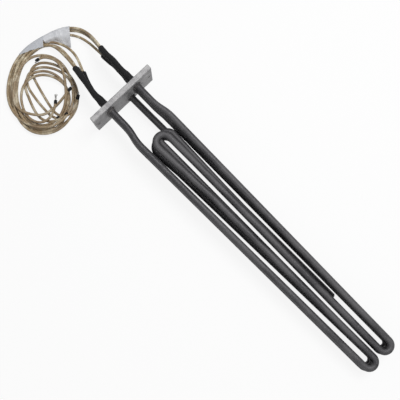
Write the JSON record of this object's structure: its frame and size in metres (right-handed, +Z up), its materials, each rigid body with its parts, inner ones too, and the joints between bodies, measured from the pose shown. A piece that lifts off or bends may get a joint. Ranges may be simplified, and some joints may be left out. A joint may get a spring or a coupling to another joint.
{
  "type": "tubular heating element assembly",
  "caption": "Tubular heating element: three M-bent sheathed rods on a drilled rectangular flange plate, with black sleeves and coiled leads.",
  "frame": {"origin": "centre of the flange plate's face on the element side", "axes": "+Y from the plate towards the elements' far bends, +X across the plate along the row of its two bolt holes, +Z up, away from the surface it lies on"},
  "size_m": [0.1494, 0.5534, 0.056],
  "materials": {
    "sheath": "oxidised satin",
    "plate": "mill finish, lightly stained",
    "braze": "dull",
    "seal": "matte",
    "pin": "satin",
    "sleeve": "woven, coated",
    "lead": "glass braid",
    "label": "matte, blank",
    "tinned": "bright"
  },
  "bodies": {
    "root": {"flange_plate": "plate", "well_tube": "sheath", "element_upper": "sheath", "element_middle": "sheath", "element_lower": "sheath", "braze_left": "braze", "braze_right": "braze", "braze_well": "braze", "end_seal_left_upper": "seal", "terminal_pin_left_upper": "pin", "crimp_left_upper": "pin", "sleeve_left_upper": "sleeve", "lead_left_upper": "lead", "end_seal_left_middle": "seal", "terminal_pin_left_middle": "pin", "crimp_left_middle": "pin", "sleeve_left_middle": "sleeve", "lead_left_middle": "lead", "end_seal_left_lower": "seal", "terminal_pin_left_lower": "pin", "crimp_left_lower": "pin", "sleeve_left_lower": "sleeve", "lead_left_lower": "lead", "end_seal_right_upper": "seal", "terminal_pin_right_upper": "pin", "crimp_right_upper": "pin", "sleeve_right_upper": "sleeve", "lead_right_upper": "lead", "end_seal_right_middle": "seal", "terminal_pin_right_middle": "pin", "crimp_right_middle": "pin", "sleeve_right_middle": "sleeve", "lead_right_middle": "lead", "end_seal_right_lower": "seal", "terminal_pin_right_lower": "pin", "crimp_right_lower": "pin", "sleeve_right_lower": "sleeve", "lead_right_lower": "lead", "lead_coil": "lead", "bundle_tape": "label", "label_flag": "label", "lead_tips": "tinned"}
  },
  "joints": []
}
